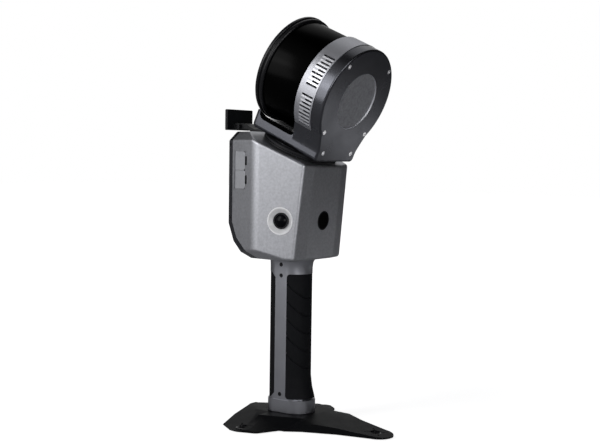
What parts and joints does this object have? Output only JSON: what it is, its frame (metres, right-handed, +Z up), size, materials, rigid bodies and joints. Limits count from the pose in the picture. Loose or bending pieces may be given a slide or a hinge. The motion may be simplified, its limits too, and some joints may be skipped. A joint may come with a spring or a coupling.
{
  "type": "handheld three-dimensional scanner",
  "caption": "Handheld mobile scanner: a tilted turning range-finder head on a faceted body with side and front cameras, a rubber-gripped handle and a three-wing survey foot.",
  "frame": {"origin": "the point on the floor under the handle's axis", "axes": "+Z up along the handle, -Y to the scanner's front where the front camera and the long foot wing point, +X to its left side"},
  "size_m": [0.1396, 0.1828, 0.3831],
  "materials": {
    "grey_metal": "satin metallic paint",
    "black_plastic": "fine matte",
    "black_rubber": "soft matte",
    "steel": "bright machined",
    "silver_aluminium": "bead-blasted",
    "brass": "machined",
    "dark_glass": "glossy infrared black",
    "inner_plastic": "moulded",
    "cell_wrap": "shrink wrap",
    "disc_grey": "fine textured",
    "light_pipe": "clear"
  },
  "bodies": {
    "scanner": {"foot_base": "black_plastic", "foot_centre_mark": "disc_grey", "foot_point_bushes": "steel", "foot_pads": "black_rubber", "handle_thread_bush": "brass", "handle_core": "inner_plastic", "handle_frame": "grey_metal", "handle_top_collar": "grey_metal", "handle_screws": "steel", "handle_front_grip": "black_rubber", "handle_rear_grip": "black_rubber", "battery_cells": "cell_wrap", "battery_contacts": "brass", "body_shell": "grey_metal", "rear_cover": "grey_metal", "rear_cover_screws": "steel", "side_camera_rings": "grey_metal", "side_camera_barrels": "black_plastic", "side_camera_lenses": "dark_glass", "front_camera_bezel": "black_plastic", "front_camera_window": "dark_glass", "front_camera_barrel": "black_plastic", "camera_boards": "inner_plastic", "port_sockets": "inner_plastic", "port_door_pin": "steel", "power_button_bezel": "grey_metal", "button_switch": "black_rubber", "button_board": "inner_plastic", "status_light": "light_pipe", "inner_frame": "silver_aluminium", "main_board": "inner_plastic", "motion_sensor": "inner_plastic", "drive_housing": "silver_aluminium", "bearing_outer_ring": "steel", "motor_stator": "steel", "slip_ring_body": "inner_plastic", "bracket_arm": "black_plastic", "bracket_screws": "steel", "bracket_pin": "steel"},
    "clamp_screw": {"foot_clamp_screw": "black_plastic"},
    "door_upper": {"port_door_upper": "grey_metal"},
    "door_lower": {"port_door_lower": "grey_metal"},
    "button": {"power_button": "black_plastic"},
    "phone_plate": {"bracket_plate": "black_plastic", "bracket_pad": "black_rubber"},
    "head": {"turntable": "black_plastic", "bearing_inner_ring": "steel", "motor_rotor": "inner_plastic", "encoder_disc": "silver_aluminium", "slip_ring_core": "inner_plastic", "yoke": "grey_metal", "yoke_screws": "steel", "end_cover": "grey_metal", "end_cover_disc": "disc_grey", "end_cover_screws": "steel", "lidar_base_ring": "silver_aluminium", "lidar_window": "dark_glass", "lidar_cap": "black_plastic", "lidar_spindle": "steel"},
    "rotor": {"lidar_rotor": "inner_plastic"}
  },
  "joints": [
    {"name": "head_spin", "type": "hinge", "parent": "scanner", "child": "head", "pos_m": [0, -0.0073, 0.26029], "axis": [0, -0.4115, 0.9114], "continuous": true},
    {"name": "rotor_spin", "type": "hinge", "parent": "head", "child": "rotor", "pos_m": [0, -0.03434, 0.32017], "axis": [0, -0.9114, -0.4115], "continuous": true},
    {"name": "upper_door_hinge", "type": "hinge", "parent": "scanner", "child": "door_upper", "pos_m": [-0.03863, 0.03815, 0.2488], "axis": [0, 0, -1], "range_deg": [0, 95]},
    {"name": "lower_door_hinge", "type": "hinge", "parent": "scanner", "child": "door_lower", "pos_m": [-0.03863, 0.03815, 0.2312], "axis": [0, 0, -1], "range_deg": [0, 95]},
    {"name": "power_press", "type": "slide", "parent": "scanner", "child": "button", "axis": [0, -1, 0], "range_m": [0, 0.0008], "stiffness_N_per_m": 600, "springref_m": -0.002},
    {"name": "bracket_tilt", "type": "hinge", "parent": "scanner", "child": "phone_plate", "pos_m": [0, 0.061, 0.2814], "axis": [-1, 0, 0], "range_deg": [-20, 80]},
    {"name": "clamp_turn", "type": "hinge", "parent": "scanner", "child": "clamp_screw", "pos_m": [0, 0, 0.006], "axis": [0, 0, 1], "continuous": true}
  ]
}
